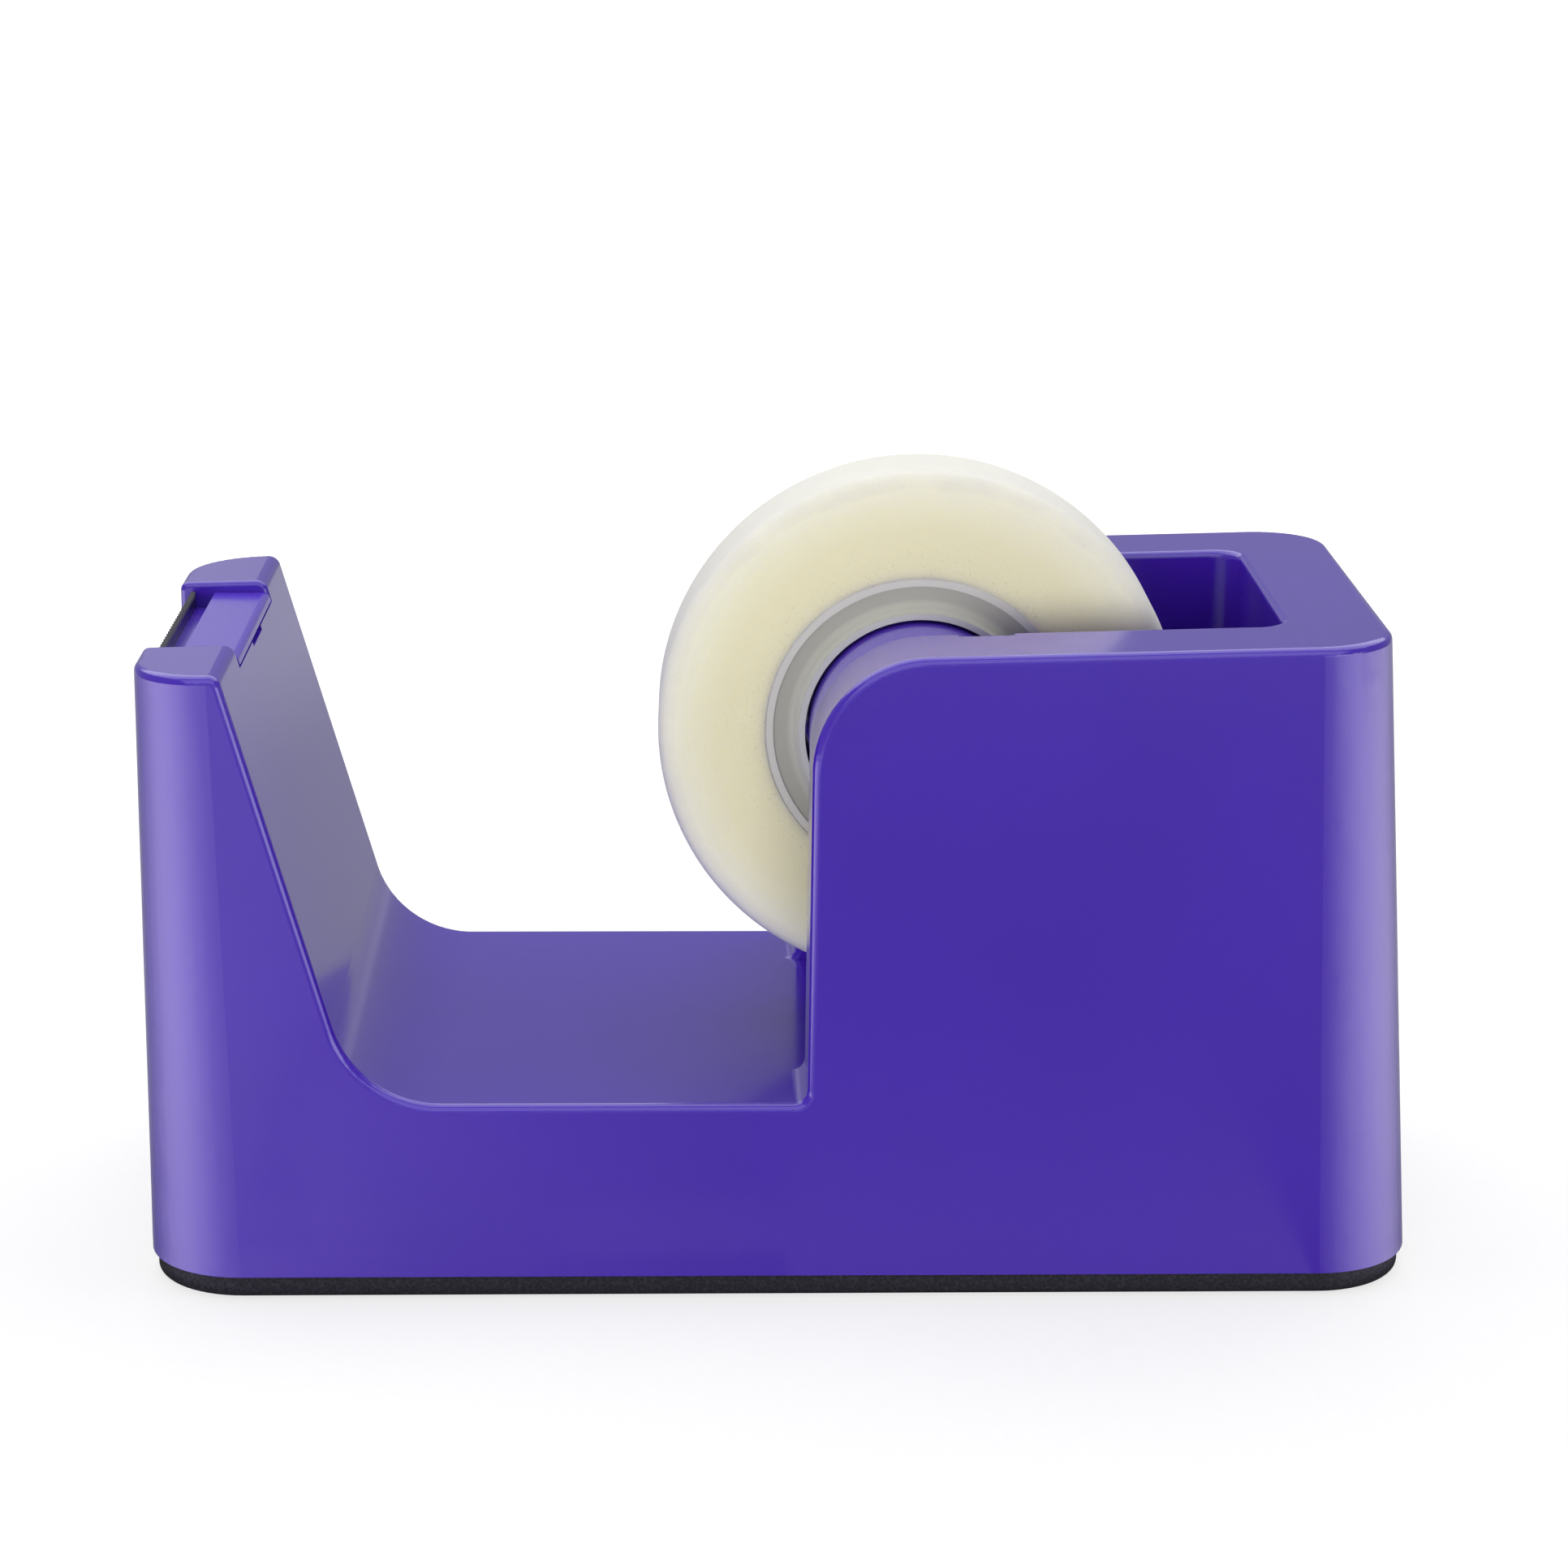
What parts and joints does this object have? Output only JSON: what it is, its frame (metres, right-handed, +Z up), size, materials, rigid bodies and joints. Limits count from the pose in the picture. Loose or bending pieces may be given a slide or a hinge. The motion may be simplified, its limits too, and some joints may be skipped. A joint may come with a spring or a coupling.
{
  "type": "tape dispenser",
  "caption": "Weighted desk dispenser: a low moulded body with a saw-edged cutter at one end and a lift-out spindle carrying a roll of clear tape in a well at the other.",
  "frame": {"origin": "middle of the underside, on the desk", "axes": "+X from the cutter end to the roll end, +Y across to the far side, +Z up"},
  "size_m": [0.1406, 0.063, 0.0874],
  "materials": {
    "purple_plastic": "gloss",
    "dark_plastic": "matte",
    "cast_weight": "as cast",
    "foam_rubber": "matte",
    "screw_steel": "zinc plated",
    "blade_steel": "dark steel",
    "core_plastic": "satin",
    "tape_film": "satin"
  },
  "bodies": {
    "dispenser_body": {"body_shell": "purple_plastic", "base_plate": "dark_plastic", "ballast_weight": "cast_weight", "anti_slip_pad": "foam_rubber", "base_screws": "screw_steel", "ballast_screws": "screw_steel", "cutter_blade": "blade_steel", "blade_holder": "purple_plastic"},
    "spindle": {"spindle_drum": "purple_plastic", "spindle_cap": "purple_plastic"},
    "tape_roll": {"tape_core": "core_plastic", "tape_winding": "tape_film"}
  },
  "joints": [
    {"name": "spindle_lift", "type": "slide", "parent": "dispenser_body", "child": "spindle", "axis": [0.3987, 0, 0.9171], "range_m": [0, 0.06]},
    {"name": "roll_spin", "type": "hinge", "parent": "spindle", "child": "tape_roll", "pos_m": [0.0158, 0, 0.0579], "axis": [0, 1, 0], "continuous": true}
  ]
}
